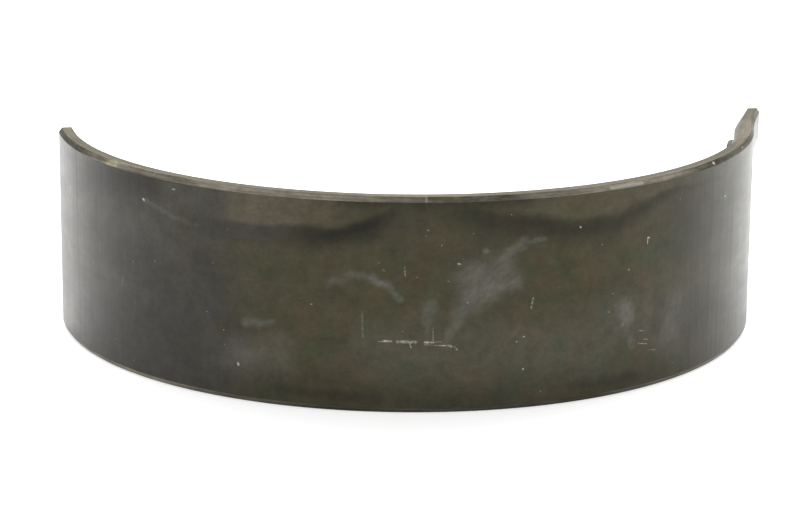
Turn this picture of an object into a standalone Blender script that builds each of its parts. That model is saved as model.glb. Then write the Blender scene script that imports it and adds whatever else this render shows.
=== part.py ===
"""Engine bearing shell: one half of a thin-walled plain bearing, in its free, sprung-open form.

The shell stands on one side face. Its crown is towards -Y, its two joint faces look towards +Y,
and the locating tang is pressed out of the corner at +X, under the upper side face.
"""

import math

import bmesh
import bpy
from mathutils import Vector

MM = 0.001

# The strip and the bore that it is made for.
HOUSING_BORE = 52.0 * MM
FREE_SPREAD = 0.8 * MM
SHELL_WIDTH = 15.3 * MM
WALL = 1.5 * MM

# Chamfers round both side faces: depth is radial, height is along the journal.
BACK_CHAMFER_DEPTH = 0.24 * MM
BACK_CHAMFER_HEIGHT = 0.33 * MM
BORE_CHAMFER_DEPTH = 0.55 * MM
BORE_CHAMFER_HEIGHT = 0.65 * MM

# Bore relief: the wall thins towards each joint face, whose inner edge is broken.
RELIEF_DEPTH = 0.15 * MM
RELIEF_LENGTH = 5.0 * MM
JOINT_BREAK = 0.12 * MM

# The locating tang: lift is how far its end stands out, length is along the arc.
TANG_WIDTH = 2.5 * MM
TANG_LENGTH = 6.8 * MM
TANG_LIFT = 1.4 * MM

# The wall beside the tang is drawn out with it a little.
DRAWN_LIFT = 0.28 * MM
DRAWN_WIDTH = 2.8 * MM
DRAWN_LEVELS = 4

# Facets: the longest step along the plain arc and along the tang.
ARC_STEP = 0.7 * MM
TANG_STEP = 0.5 * MM

# Points closer than this are one point.
WELD = 0.0001 * MM

# Satin, slightly stained steel.
STEEL_COLOUR = (0.115, 0.105, 0.088, 1.0)
STEEL_ROUGHNESS = 0.38
STEEL_METALLIC = 1.0

SHARP_ANGLE = math.radians(20.0)


def clear_scene():
    """Remove what the scene holds, so that only the shell is in it."""
    for thing in list(bpy.data.objects):
        bpy.data.objects.remove(thing, do_unlink=True)


def free_form():
    """Back radius and half angle of the shell out of its housing.

    The back is half the housing bore's circumference long, in the housing and out of it. Out of
    it the shell springs open, so the same length lies on a slightly larger circle and falls
    short of a half turn.
    """
    half_length = math.pi * HOUSING_BORE / 4.0
    half_span = (HOUSING_BORE + FREE_SPREAD) / 2.0
    narrow = math.radians(45.0)
    wide = math.radians(90.0)
    for _ in range(50):
        half_angle = (narrow + wide) / 2.0
        if half_length / half_angle * math.sin(half_angle) > half_span:
            narrow = half_angle
        else:
            wide = half_angle
    return half_length / half_angle, half_angle


BACK_RADIUS, HALF_ANGLE = free_form()
BORE_RADIUS = BACK_RADIUS - WALL
SHEAR_HEIGHT = SHELL_WIDTH - TANG_WIDTH
TANG_ANGLE = TANG_LENGTH / BACK_RADIUS


def wall_outline():
    """Closed outline of the wall's section, as (radius, height, in the tang).

    The section has two points at the shear line on each side. They lie together where the wall
    is plain, and part where the tang is pressed out.
    """
    drawn = [SHEAR_HEIGHT - DRAWN_WIDTH * level / DRAWN_LEVELS for level in range(DRAWN_LEVELS + 1)]
    back = [(BACK_RADIUS, BACK_CHAMFER_HEIGHT, False)]
    back += [(BACK_RADIUS, height, False) for height in reversed(drawn)]
    back += [(BACK_RADIUS, SHEAR_HEIGHT, True)]
    back += [(BACK_RADIUS, SHELL_WIDTH - BACK_CHAMFER_HEIGHT, True)]
    upper_side = [
        (BACK_RADIUS - BACK_CHAMFER_DEPTH, SHELL_WIDTH, True),
        (BORE_RADIUS + BORE_CHAMFER_DEPTH, SHELL_WIDTH, True),
    ]
    bore = [(BORE_RADIUS, SHELL_WIDTH - BORE_CHAMFER_HEIGHT, True)]
    bore += [(BORE_RADIUS, SHEAR_HEIGHT, True)]
    bore += [(BORE_RADIUS, height, False) for height in drawn]
    bore += [(BORE_RADIUS, BORE_CHAMFER_HEIGHT, False)]
    lower_side = [
        (BORE_RADIUS + BORE_CHAMFER_DEPTH, 0.0, False),
        (BACK_RADIUS - BACK_CHAMFER_DEPTH, 0.0, False),
    ]
    return back + upper_side + bore + lower_side


def pressed_out(angle, height, in_tang):
    """How far the press has moved the wall outwards, at an angle from the crown and a height.

    The tang curls out evenly from its root, so its lift grows with the square of the distance.
    """
    from_root = angle - (HALF_ANGLE - TANG_ANGLE)
    if from_root <= 0.0:
        return 0.0
    curl = (from_root / TANG_ANGLE) ** 2
    if in_tang:
        return TANG_LIFT * curl
    below = (SHEAR_HEIGHT - height) / DRAWN_WIDTH
    return DRAWN_LIFT * curl * max(0.0, 1.0 - below) ** 2


def relieved(angle, radius):
    """How far the bore relief and the broken joint edge set a point of the bore back."""
    if radius > BORE_RADIUS:
        return 0.0
    to_joint = (HALF_ANGLE - abs(angle)) * BACK_RADIUS
    relief = RELIEF_DEPTH * max(0.0, 1.0 - to_joint / RELIEF_LENGTH)
    return relief + max(0.0, JOINT_BREAK - to_joint)


def station_angles():
    """Angles from the crown at which the section is placed, from one joint face to the other."""
    break_angle = JOINT_BREAK / BACK_RADIUS
    root = HALF_ANGLE - TANG_ANGLE
    start = break_angle - HALF_ANGLE
    end = HALF_ANGLE - break_angle
    plain_steps = math.ceil((root - start) * BACK_RADIUS / ARC_STEP)
    tang_steps = math.ceil((end - root) * BACK_RADIUS / TANG_STEP)
    plain = [start + (root - start) * step / plain_steps for step in range(plain_steps)]
    tang = [root + (end - root) * step / tang_steps for step in range(tang_steps + 1)]
    return [-HALF_ANGLE] + plain + tang + [HALF_ANGLE]


def section_points(outline, angle):
    """The section's points in space at one angle from the crown."""
    outward = Vector((math.sin(angle), -math.cos(angle), 0.0))
    points = []
    for radius, height, in_tang in outline:
        reach = radius + pressed_out(angle, height, in_tang) + relieved(angle, radius)
        points.append(outward * reach + Vector((0.0, 0.0, height)))
    return points


def bridge(model, first, second):
    """Join two neighbouring sections by a ring of faces."""
    for index, vertex in enumerate(first):
        following = (index + 1) % len(first)
        model.faces.new((vertex, first[following], second[following], second[index]))


def build_shell_mesh():
    """The wall swept from joint face to joint face, with its tang pressed out."""
    outline = wall_outline()
    model = bmesh.new()
    rings = []
    for angle in station_angles():
        rings.append([model.verts.new(point) for point in section_points(outline, angle)])
    for first, second in zip(rings, rings[1:]):
        bridge(model, first, second)
    model.faces.new(reversed(rings[0]))
    model.faces.new(rings[-1])
    bmesh.ops.remove_doubles(model, verts=model.verts[:], dist=WELD)
    bmesh.ops.triangulate(model, faces=model.faces[:])
    bmesh.ops.recalc_face_normals(model, faces=model.faces[:])
    mesh = bpy.data.meshes.new("bearing_shell")
    model.to_mesh(mesh)
    model.free()
    return mesh


def centre_on_base(mesh):
    """Put the origin in the middle of the shell's box, on the surface that it stands on."""
    for axis in (0, 1):
        places = [vertex.co[axis] for vertex in mesh.vertices]
        middle = (min(places) + max(places)) / 2.0
        for vertex in mesh.vertices:
            vertex.co[axis] -= middle


def steel():
    """Satin steel of the shell's back."""
    material = bpy.data.materials.new("satin_steel")
    material.use_nodes = True
    surface = material.node_tree.nodes["Principled BSDF"]
    surface.inputs["Base Color"].default_value = STEEL_COLOUR
    surface.inputs["Roughness"].default_value = STEEL_ROUGHNESS
    surface.inputs["Metallic"].default_value = STEEL_METALLIC
    return material


def build():
    """Make the shell and place it in the scene."""
    clear_scene()
    mesh = build_shell_mesh()
    centre_on_base(mesh)
    mesh.materials.append(steel())
    mesh.shade_smooth()
    mesh.set_sharp_from_angle(angle=SHARP_ANGLE)
    shell = bpy.data.objects.new("bearing_shell", mesh)
    bpy.context.scene.collection.objects.link(shell)


build()
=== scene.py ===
"""An engine bearing shell on a white studio table: one half of a thin-walled plain bearing.

The wall is swept, rolled and pressed by one geometry tree, from the same sizes as the solid that
it stands for. Lengths named _mm and every place on the flat strip are in millimetres.
"""

import logging
import math
from dataclasses import dataclass, field, replace
from enum import Enum
from typing import Any

import bmesh
import bpy
from mathutils import Matrix, Vector


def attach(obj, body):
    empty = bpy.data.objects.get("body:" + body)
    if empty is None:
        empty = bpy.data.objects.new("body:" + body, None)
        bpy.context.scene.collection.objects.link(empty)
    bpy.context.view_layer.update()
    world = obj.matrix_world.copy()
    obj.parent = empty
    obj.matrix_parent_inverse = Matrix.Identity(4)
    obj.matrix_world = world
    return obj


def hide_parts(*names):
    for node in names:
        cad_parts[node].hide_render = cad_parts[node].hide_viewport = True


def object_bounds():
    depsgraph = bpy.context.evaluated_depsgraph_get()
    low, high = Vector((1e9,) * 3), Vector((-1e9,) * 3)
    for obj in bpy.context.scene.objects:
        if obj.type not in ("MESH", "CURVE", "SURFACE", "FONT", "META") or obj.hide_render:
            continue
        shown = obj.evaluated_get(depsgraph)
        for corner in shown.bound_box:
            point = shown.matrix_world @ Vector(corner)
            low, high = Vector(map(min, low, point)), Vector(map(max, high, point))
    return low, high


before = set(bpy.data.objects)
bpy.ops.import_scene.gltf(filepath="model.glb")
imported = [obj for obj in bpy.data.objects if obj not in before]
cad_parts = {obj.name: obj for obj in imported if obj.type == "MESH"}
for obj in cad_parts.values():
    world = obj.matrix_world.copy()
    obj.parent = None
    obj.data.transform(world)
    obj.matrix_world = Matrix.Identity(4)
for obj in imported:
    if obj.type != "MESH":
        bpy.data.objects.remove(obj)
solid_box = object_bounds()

log = logging.getLogger("bearing_shell")

MM = 0.001
Pair = tuple[float, float]

# Two ends of a number, then what it gives at each of them.
Span = tuple[float, float, float, float]

# The mesh attribute that holds each point's place on the flat strip, in millimetres.
ON_STRIP = "on_strip"

# The kinds of node that are used most, and settings that go with them.
MATH = "ShaderNodeMath"
RANGE = "ShaderNodeMapRange"
VECTOR = "ShaderNodeVectorMath"
MIX = "ShaderNodeMix"
BUMP = "ShaderNodeBump"
COLOURS = {"data_type": "RGBA"}
SMOOTH = {"interpolation_type": "SMOOTHSTEP"}

# Keeps the way along the strip and up, and drops the way through it.
ALONG_AND_UP = (1.0, 1.0, 0.0)

WHITE = (1.0, 1.0, 1.0, 1.0)

# The lining gives way to the steel between these depths from the bore, in millimetres.
LINING_ENDS: Pair = (0.28, 0.32)


def linear(colour: str) -> tuple[float, float, float, float]:
    """Turn an sRGB hex colour into linear values.

    Args:
        colour: Six hex digits with a leading hash.

    Returns:
        Red, green, blue and an alpha of one.
    """
    # The sRGB curve: straight near black, a power above it.
    parts = [int(colour[place : place + 2], 16) / 255.0 for place in (1, 3, 5)]
    low_end = [part / 12.92 for part in parts]
    upper = [((part + 0.055) / 1.055) ** 2.4 for part in parts]
    red, green, blue = (a if part <= 0.04045 else b for part, a, b in zip(parts, low_end, upper))
    return red, green, blue, 1.0


def feed(tree: bpy.types.NodeTree, socket: bpy.types.NodeSocket, value: Any) -> None:
    """Give an input its value, or link what it comes from.

    Args:
        tree: The tree that the input is in.
        socket: The input.
        value: A number or colour, a socket, or a node, whose first shown output is linked. None
            leaves the input as it is.
    """
    if isinstance(value, bpy.types.Node):
        value = next(output for output in value.outputs if output.enabled)
    if isinstance(value, bpy.types.NodeSocket):
        tree.links.new(value, socket)
    elif value is not None:
        socket.default_value = value


def add_node(tree: bpy.types.NodeTree, kind: str, *values: Any, **settings: Any) -> bpy.types.Node:
    """Add a node with its settings, values and links.

    Args:
        tree: The tree that gets the node.
        kind: The node's type name.
        *values: What each shown input is fed with, in turn.
        **settings: The node's own properties. The word inputs holds further inputs by name.

    Returns:
        The new node.
    """
    named = settings.pop("inputs", {})
    node = tree.nodes.new(kind)
    for setting, value in settings.items():
        setattr(node, setting, value)
    shown = [socket for socket in node.inputs if socket.enabled]
    pairs = list(zip(shown, values)) + [(node.inputs[name], value) for name, value in named.items()]
    for socket, value in pairs:
        feed(tree, socket, value)
    return node


class Zone(Enum):
    """The parts of the wall's surface, each with a finish of its own.

    Where a face could be in two zones, it is in the later one.
    """

    RIM = 0
    BACK = 1
    BORE = 2
    SHEAR = 3
    JOINT = 4

    @property
    def socket(self) -> str:
        """Name of the tree's input for this zone's finish."""
        return f"Finish {self.name.title()}"


@dataclass(frozen=True)
class SectionPoint:
    """A point of the wall's outline.

    Depth is measured from the bore's surface outwards, height from the lower side face. Outward
    is the direction out of the metal there. Rollover is how far the point moves where the tang
    stands clear of the wall.
    """

    depth: float
    height: float
    outward: Pair
    in_tang: bool = False
    rollover: Pair = (0.0, 0.0)


@dataclass(frozen=True)
class ShellSizes:
    """Driving sizes of the shell in millimetres, as in the solid, and its sheared edges' rollover.

    Search steps is how often the search for the half angle halves its range.
    """

    housing_bore: float = 52.0
    free_spread: float = 0.8
    width: float = 15.3
    wall: float = 1.5
    back_chamfer_depth: float = 0.24
    back_chamfer_height: float = 0.33
    bore_chamfer_depth: float = 0.55
    bore_chamfer_height: float = 0.65
    relief_depth: float = 0.15
    relief_length: float = 5.0
    joint_break: float = 0.12
    tang_width: float = 2.5
    tang_length: float = 6.8
    tang_lift: float = 1.4
    drawn_lift: float = 0.28
    drawn_width: float = 2.8
    rollover: float = 0.12
    search_steps: int = 50

    @property
    def half_length(self) -> float:
        """Half the arc along the back, which is a quarter of the housing bore's circumference."""
        return math.pi * self.housing_bore / 4.0

    @property
    def half_angle(self) -> float:
        """Half the angle of the sprung-open shell.

        Returns:
            The angle in radians at which the back's chord is the housing bore plus the spread.
        """
        half_span = (self.housing_bore + self.free_spread) / 2.0
        narrow, wide = math.radians(45.0), math.radians(90.0)
        for _ in range(self.search_steps):
            angle = (narrow + wide) / 2.0
            if self.half_length / angle * math.sin(angle) > half_span:
                narrow = angle
            else:
                wide = angle
        return angle

    @property
    def back_radius(self) -> float:
        """Radius of the back out of its housing."""
        return self.half_length / self.half_angle

    @property
    def bore_radius(self) -> float:
        """Radius of the bore out of its housing."""
        return self.back_radius - self.wall

    @property
    def shear_height(self) -> float:
        """Height at which the press shears the tang from the wall."""
        return self.width - self.tang_width

    @property
    def drawn_foot(self) -> float:
        """Height up to which the press leaves the wall as it is."""
        return self.shear_height - self.drawn_width

    @property
    def tang_root(self) -> float:
        """Where the tang begins, along the arc from the crown."""
        return self.half_length - self.tang_length

    @property
    def journal_axis(self) -> tuple[float, float, float]:
        """Where the journal's axis stands, with the origin in the middle of the shell's box.

        Returns:
            Its foot on the surface that the shell stands on.
        """
        plain_end = self.back_radius * math.sin(self.half_angle)
        tang_end = (self.back_radius + self.tang_lift) * math.sin(self.half_angle)
        inner_edge = self.bore_radius + self.relief_depth + self.joint_break
        open_side = -inner_edge * math.cos(self.half_angle)
        return (plain_end - tang_end) / 2.0, (self.back_radius - open_side) / 2.0, 0.0


@dataclass(frozen=True)
class WallSection:
    """Outline of the wall's section, with softened corners and spare points beside them.

    Lengths are in millimetres. Round middle is how far a quarter round's middle lies in from both
    sides of its corner, as a share of its radius.
    """

    sizes: ShellSizes = field(default_factory=ShellSizes)
    round_middle: float = 0.29
    corner_trim: float = 0.05
    spare_step: float = 0.06
    corner_steps: int = 4
    plain_step: float = 1.25
    drawn_step: float = 0.35
    tang_step: float = 0.55

    def corners(self) -> list[Pair]:
        """The eight sharp corners, round the section from the foot of the back upwards.

        Returns:
            Depth and height of each corner.
        """
        size = self.sizes
        back_side = size.wall - size.back_chamfer_depth
        return [
            (size.wall, size.back_chamfer_height),
            (size.wall, size.width - size.back_chamfer_height),
            (back_side, size.width),
            (size.bore_chamfer_depth, size.width),
            (0.0, size.width - size.bore_chamfer_height),
            (0.0, size.bore_chamfer_height),
            (size.bore_chamfer_depth, 0.0),
            (back_side, 0.0),
        ]

    def softened(self, before: Pair, corner: Pair, after: Pair) -> list[SectionPoint]:
        """Replace a sharp corner by a small curve with a spare point on each side.

        Args:
            before: The corner before this one.
            corner: The corner to soften.
            after: The corner after this one.

        Returns:
            The points in their order round the section.
        """
        middle = Vector(corner)
        arriving = (middle - Vector(before)).normalized()
        leaving = (Vector(after) - middle).normalized()
        in_tang = corner[1] > self.sizes.shear_height
        start = middle - arriving * self.corner_trim
        end = middle + leaving * self.corner_trim
        points = [(start - arriving * self.spare_step, arriving)]
        for step in range(self.corner_steps + 1):
            share = step / self.corner_steps
            place = start.lerp(middle, share).lerp(middle.lerp(end, share), share)
            points.append((place, arriving.lerp(leaving, share).normalized()))
        points.append((end + leaving * self.spare_step, leaving))
        return [
            SectionPoint(place.x, place.y, (heading.y, -heading.x), in_tang)
            for place, heading in points
        ]

    def levels(self) -> list[float]:
        """Heights of the points between the foot of the wall and the shear line.

        Returns:
            The heights from the lowest up, the shear line left out.
        """
        size = self.sizes
        foot = size.drawn_foot
        plain_count = math.ceil(foot / self.plain_step)
        plain = [foot * step / plain_count for step in range(1, plain_count)]
        drawn_count = math.ceil(size.drawn_width / self.drawn_step)
        step_height = size.drawn_width / drawn_count
        return plain + [foot + step_height * step for step in range(drawn_count)]

    def run(self, on_back: bool) -> list[SectionPoint]:
        """Points along the back or the bore, with the two sides of the shear line.

        The edge that the press rolls over is the tang's on the back and the wall's on the bore.

        Args:
            on_back: Whether the run is the back's, else the bore's.

        Returns:
            The points from the lowest up.
        """
        size = self.sizes
        depth = size.wall if on_back else 0.0
        outward = (1.0 if on_back else -1.0, 0.0)
        shear = size.shear_height
        below = [SectionPoint(depth, height, outward) for height in self.levels()]
        tang_count = math.ceil((size.tang_width - size.bore_chamfer_height) / self.tang_step)
        above = [
            SectionPoint(depth, shear + self.tang_step * step, outward, True)
            for step in range(1, tang_count)
        ]
        radius = size.rollover
        corner = self.round_middle * radius
        rolled = [(0.0, -radius), (corner, -corner), (radius, 0.0)]
        if on_back:
            rolled = [(-across, -up) for across, up in reversed(rolled)]
        edge = [SectionPoint(depth, shear, outward, on_back, shift) for shift in rolled]
        sharp = [SectionPoint(depth, shear, outward, not on_back)]
        return below + (sharp + edge if on_back else edge + sharp) + above

    def points(self) -> list[SectionPoint]:
        """The whole outline, once round.

        Returns:
            Its points, starting at the foot of the back.
        """
        corners = self.corners()
        foot, top, top_back, top_bore, bore_top, bore_foot, foot_bore, foot_back = [
            self.softened(corners[place - 1], corner, corners[(place + 1) % len(corners)])
            for place, corner in enumerate(corners)
        ]
        back = foot + self.run(on_back=True) + top
        bore = bore_top + list(reversed(self.run(on_back=False))) + bore_foot
        return back + top_back + top_bore + bore + foot_bore + foot_back

    def mesh(self) -> bpy.types.Mesh:
        """The outline as a closed loop of edges, which carries its points' facts in attributes.

        Returns:
            The mesh, in metres.
        """
        points = self.points()
        mesh = bpy.data.meshes.new("wall_section")
        places = [(point.depth * MM, point.height * MM, 0.0) for point in points]
        edges = [(place, (place + 1) % len(points)) for place in range(len(points))]
        mesh.from_pydata(places, edges, [])
        columns = {
            "depth": [point.depth * MM for point in points],
            "height": [point.height * MM for point in points],
            "in_tang": [float(point.in_tang) for point in points],
            "outward_depth": [point.outward[0] for point in points],
            "outward_height": [point.outward[1] for point in points],
            "rollover_depth": [point.rollover[0] * MM for point in points],
            "rollover_height": [point.rollover[1] * MM for point in points],
        }
        for name, numbers in columns.items():
            mesh.attributes.new(name, "FLOAT", "POINT").data.foreach_set("value", numbers)
        return mesh


class RollingPress:
    """The geometry tree that sweeps the section, rolls it into the arc and presses out the tang."""

    SIZES = {
        "Half Length": "half_length",
        "Back Radius": "back_radius",
        "Bore Radius": "bore_radius",
        "Wall": "wall",
        "Bore Chamfer Depth": "bore_chamfer_depth",
        "Relief Depth": "relief_depth",
        "Relief Length": "relief_length",
        "Joint Break": "joint_break",
        "Tang Root": "tang_root",
        "Tang Lift": "tang_lift",
        "Drawn Lift": "drawn_lift",
        "Drawn Foot": "drawn_foot",
        "Shear Height": "shear_height",
    }
    STATION = "station"
    ZONE = "zone"
    SECTION_FACTS = ("depth", "height", "in_tang", "outward_depth", "outward_height")
    CARRIED = (*SECTION_FACTS, "rollover_depth", "rollover_height", STATION, ZONE)

    # Points closer than the weld are one point, and a face this near to a surface lies on it.
    WELD = 0.0001 * MM
    SLIVER = 0.00005 * MM

    # The sheared edges roll over in full where the tang stands this many rollovers clear.
    ROLLOVER_NEEDS = 3.0

    # Half the points of a sheared face are in the tang, so its mean of in_tang is near a half.
    IN_TANG_HALF = 0.5
    SHEAR_WITHIN = 0.4

    # Zone numbers that differ by less are the same zone.
    SAME_ZONE = 0.5

    def __init__(
        self, sizes: ShellSizes, stations: int = 360, joint_round: float = 0.05
    ) -> None:
        """Build the tree.

        Args:
            sizes: The shell's sizes.
            stations: How many sections stand along the arc.
            joint_round: Radius of the softened edge round each joint face, in millimetres.
        """
        self.sizes = sizes
        self.stations = stations
        self.joint_round = joint_round
        self.tree = bpy.data.node_groups.new("roll_and_press", "GeometryNodeTree")
        self.identifiers = self.declare()
        self.given = add_node(self.tree, "NodeGroupInput").outputs
        self.read = {
            name: add_node(
                self.tree, "GeometryNodeInputNamedAttribute", name, data_type="FLOAT"
            ).outputs["Attribute"]
            for name in self.CARRIED
        }
        self.build()

    def declare(self) -> dict[str, str]:
        """Give the tree its named inputs and its output.

        Returns:
            The identifier of each input's socket, by the input's name.
        """
        kinds = {"Section": "NodeSocketGeometry", "Stations": "NodeSocketInt"}
        kinds |= {name: "NodeSocketFloat" for name in (*self.SIZES, "Joint Round")}
        kinds |= {"Journal Axis": "NodeSocketVector"}
        kinds |= {zone.socket: "NodeSocketMaterial" for zone in Zone}
        face = self.tree.interface
        made = {
            name: face.new_socket(name, in_out="INPUT", socket_type=kind).identifier
            for name, kind in kinds.items()
        }
        face.new_socket("Shell", in_out="OUTPUT", socket_type="NodeSocketGeometry")
        return made

    def swept(self) -> bpy.types.Node:
        """Sweep the section along a straight path whose points carry their number.

        Returns:
            The node that gives the straight bar.
        """
        tree = self.tree
        section = add_node(tree, "GeometryNodeMeshToCurve", self.given["Section"])
        line = add_node(tree, "GeometryNodeCurvePrimitiveLine", (0.0, 0.0, 0.0), (1.0, 0.0, 0.0))
        path = add_node(
            tree,
            "GeometryNodeResampleCurve",
            inputs={"Curve": line, "Count": self.given["Stations"]},
        )
        number = add_node(tree, "GeometryNodeInputIndex")
        numbered = add_node(
            tree,
            "GeometryNodeStoreNamedAttribute",
            data_type="FLOAT",
            domain="POINT",
            inputs={"Geometry": path, "Name": self.STATION, "Value": number},
        )
        return add_node(
            tree,
            "GeometryNodeCurveToMesh",
            inputs={"Curve": numbered, "Profile Curve": section, "Fill Caps": True},
        )

    def way_along(self) -> tuple[bpy.types.Node, bpy.types.Node]:
        """Where each point lies along the arc. Sections crowd towards both ends.

        Returns:
            The place along the arc from the crown, and the distance to the nearer joint face.
        """
        tree, given = self.tree, self.given
        last = add_node(tree, MATH, given["Stations"], 1.0, operation="SUBTRACT")
        phase = add_node(tree, RANGE, self.read[self.STATION], 0.0, last, 0.0, math.pi)
        swing = add_node(tree, MATH, phase, operation="COSINE")
        start = add_node(tree, MATH, given["Half Length"], -1.0, operation="MULTIPLY")
        along = add_node(tree, RANGE, swing, 1.0, -1.0, start, given["Half Length"])
        away = add_node(tree, MATH, along, operation="ABSOLUTE")
        to_joint = add_node(tree, MATH, given["Half Length"], away, operation="SUBTRACT")
        return along, to_joint

    def lifts(self, along: bpy.types.Node) -> tuple[bpy.types.Node, bpy.types.Node]:
        """How far the press moves each point outwards.

        The tang curls out evenly from its root, so its lift grows with the square of the way, and
        the wall beside it is drawn out a little, less with each step away from the shear line.

        Args:
            along: The place along the arc.

        Returns:
            The lift of each point, and the lift of the tang at that place.
        """
        tree, given, read = self.tree, self.given, self.read
        share = add_node(tree, RANGE, along, given["Tang Root"], given["Half Length"], 0.0, 1.0)
        curl = add_node(tree, MATH, share, share, operation="MULTIPLY")
        tang = add_node(tree, MATH, given["Tang Lift"], curl, operation="MULTIPLY")
        near = add_node(
            tree, RANGE, read["height"], given["Drawn Foot"], given["Shear Height"], 0.0, 1.0
        )
        near_curl = add_node(tree, MATH, near, curl, operation="MULTIPLY")
        fading = add_node(tree, MATH, near_curl, near, operation="MULTIPLY")
        drawn = add_node(tree, MATH, given["Drawn Lift"], fading, operation="MULTIPLY")
        lift = add_node(tree, MIX, read["in_tang"], drawn, tang, data_type="FLOAT")
        return lift, tang

    def set_back(self, to_joint: bpy.types.Node) -> bpy.types.Node:
        """How far the bore stands back towards each joint face, whose inner edge is broken.

        Args:
            to_joint: The distance to the nearer joint face.

        Returns:
            The distance for each point, none for the back.
        """
        tree, given = self.tree, self.given
        relief = add_node(
            tree, RANGE, to_joint, 0.0, given["Relief Length"], given["Relief Depth"], 0.0
        )
        broken = add_node(
            tree, RANGE, to_joint, 0.0, given["Joint Break"], given["Joint Break"], 0.0
        )
        both = add_node(tree, MATH, relief, broken, operation="ADD")
        share = add_node(
            tree, RANGE, self.read["depth"], 0.0, given["Bore Chamfer Depth"], 1.0, 0.0
        )
        return add_node(tree, MATH, both, share, operation="MULTIPLY")

    def inset(self, to_joint: bpy.types.Node) -> bpy.types.Node:
        """How far a quarter round takes the outline in beside each joint face.

        Args:
            to_joint: The distance to the nearer joint face.

        Returns:
            The distance, none away from the joint faces.
        """
        tree, radius = self.tree, self.given["Joint Round"]
        inside = add_node(tree, RANGE, to_joint, 0.0, radius, 1.0, 0.0)
        square = add_node(tree, MATH, inside, inside, operation="MULTIPLY")
        left = add_node(tree, MATH, 1.0, square, operation="SUBTRACT")
        arc = add_node(tree, MATH, left, operation="SQRT")
        share = add_node(tree, MATH, 1.0, arc, operation="SUBTRACT")
        return add_node(tree, MATH, share, radius, operation="MULTIPLY")

    def build(self) -> None:
        """Fill the tree: sweep, relieve, press, roll, weld and dress."""
        tree, given, read = self.tree, self.given, self.read
        along, to_joint = self.way_along()
        lift, tang_lift = self.lifts(along)
        inset = self.inset(to_joint)

        # Where the tang stands clear of the wall, the sheared edges roll over.
        full_lift = self.ROLLOVER_NEEDS * self.sizes.rollover * MM
        clear = add_node(tree, RANGE, tang_lift, 0.0, full_lift, 0.0, 1.0)
        moved = {}
        for way in ("depth", "height"):
            rolled = add_node(tree, MATH, clear, read[f"rollover_{way}"], operation="MULTIPLY")
            taken_in = add_node(tree, MATH, inset, read[f"outward_{way}"], operation="MULTIPLY")
            shift = add_node(tree, MATH, rolled, taken_in, operation="SUBTRACT")
            moved[way] = add_node(tree, MATH, read[way], shift, operation="ADD")

        reach = add_node(tree, MATH, given["Bore Radius"], moved["depth"], operation="ADD")
        for change in (lift, self.set_back(to_joint)):
            reach = add_node(tree, MATH, reach, change, operation="ADD")
        towards_crown = add_node(tree, MATH, reach, -1.0, operation="MULTIPLY")
        at_crown = add_node(tree, "ShaderNodeCombineXYZ", 0.0, towards_crown, moved["height"])
        angle = add_node(tree, MATH, along, given["Back Radius"], operation="DIVIDE")
        rolled_up = add_node(
            tree,
            "ShaderNodeVectorRotate",
            rotation_type="Z_AXIS",
            inputs={"Vector": at_crown, "Angle": angle},
        )
        place = add_node(tree, VECTOR, given["Journal Axis"], rolled_up, operation="ADD")
        shaped = add_node(
            tree, "GeometryNodeSetPosition", inputs={"Geometry": self.swept(), "Position": place}
        )
        on_strip = add_node(tree, "ShaderNodeCombineXYZ", along, read["height"], read["depth"])
        per_metre = {"Vector": on_strip, "Scale": 1.0 / MM}
        in_mm = add_node(tree, VECTOR, operation="SCALE", inputs=per_metre)
        marked = add_node(
            tree,
            "GeometryNodeStoreNamedAttribute",
            data_type="FLOAT_VECTOR",
            domain="POINT",
            inputs={"Geometry": shaped, "Name": ON_STRIP, "Value": in_mm},
        )
        zoned = add_node(
            tree,
            "GeometryNodeStoreNamedAttribute",
            data_type="FLOAT",
            domain="FACE",
            inputs={"Geometry": marked, "Name": self.ZONE, "Value": self.zones(along)},
        )
        shell = add_node(
            tree, "GeometryNodeMergeByDistance", inputs={"Geometry": zoned, "Distance": self.WELD}
        )
        shell = add_node(tree, "GeometryNodeRealizeInstances", shell)
        for zone in Zone:
            number = read[self.ZONE]
            where = add_node(tree, MATH, number, zone.value, self.SAME_ZONE, operation="COMPARE")
            inputs = {"Geometry": shell, "Selection": where, "Material": given[zone.socket]}
            shell = add_node(tree, "GeometryNodeSetMaterial", inputs=inputs)
        add_node(tree, "NodeGroupOutput", shell)

    def zones(self, along: bpy.types.Node) -> bpy.types.Node:
        """The zone of each face, by where the face was on the straight bar.

        Args:
            along: The place along the arc.

        Returns:
            The node that gives the zone's number.
        """
        tree, given, read = self.tree, self.given, self.read
        outer = add_node(tree, MATH, given["Wall"], self.SLIVER, operation="SUBTRACT")
        over_half = add_node(tree, MATH, read["in_tang"], self.IN_TANG_HALF, operation="SUBTRACT")
        off_half = add_node(tree, MATH, over_half, operation="ABSOLUTE")
        away = add_node(tree, MATH, along, operation="ABSOLUTE")
        end = add_node(tree, MATH, given["Half Length"], self.SLIVER, operation="SUBTRACT")
        tests = {
            Zone.BACK: (read["depth"], outer, "GREATER_THAN"),
            Zone.BORE: (read["depth"], self.SLIVER, "LESS_THAN"),
            Zone.SHEAR: (off_half, self.SHEAR_WITHIN, "LESS_THAN"),
            Zone.JOINT: (away, end, "GREATER_THAN"),
        }
        latest: Any = float(Zone.RIM.value)
        for zone, (number, limit, operation) in tests.items():
            on_face = add_node(
                tree, "GeometryNodeFieldOnDomain", number, data_type="FLOAT", domain="FACE"
            )
            inside = add_node(tree, MATH, on_face, limit, operation=operation)
            ranked = add_node(tree, MATH, inside, zone.value, operation="MULTIPLY")
            latest = add_node(tree, MATH, latest, ranked, operation="MAXIMUM")
        return latest

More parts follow.
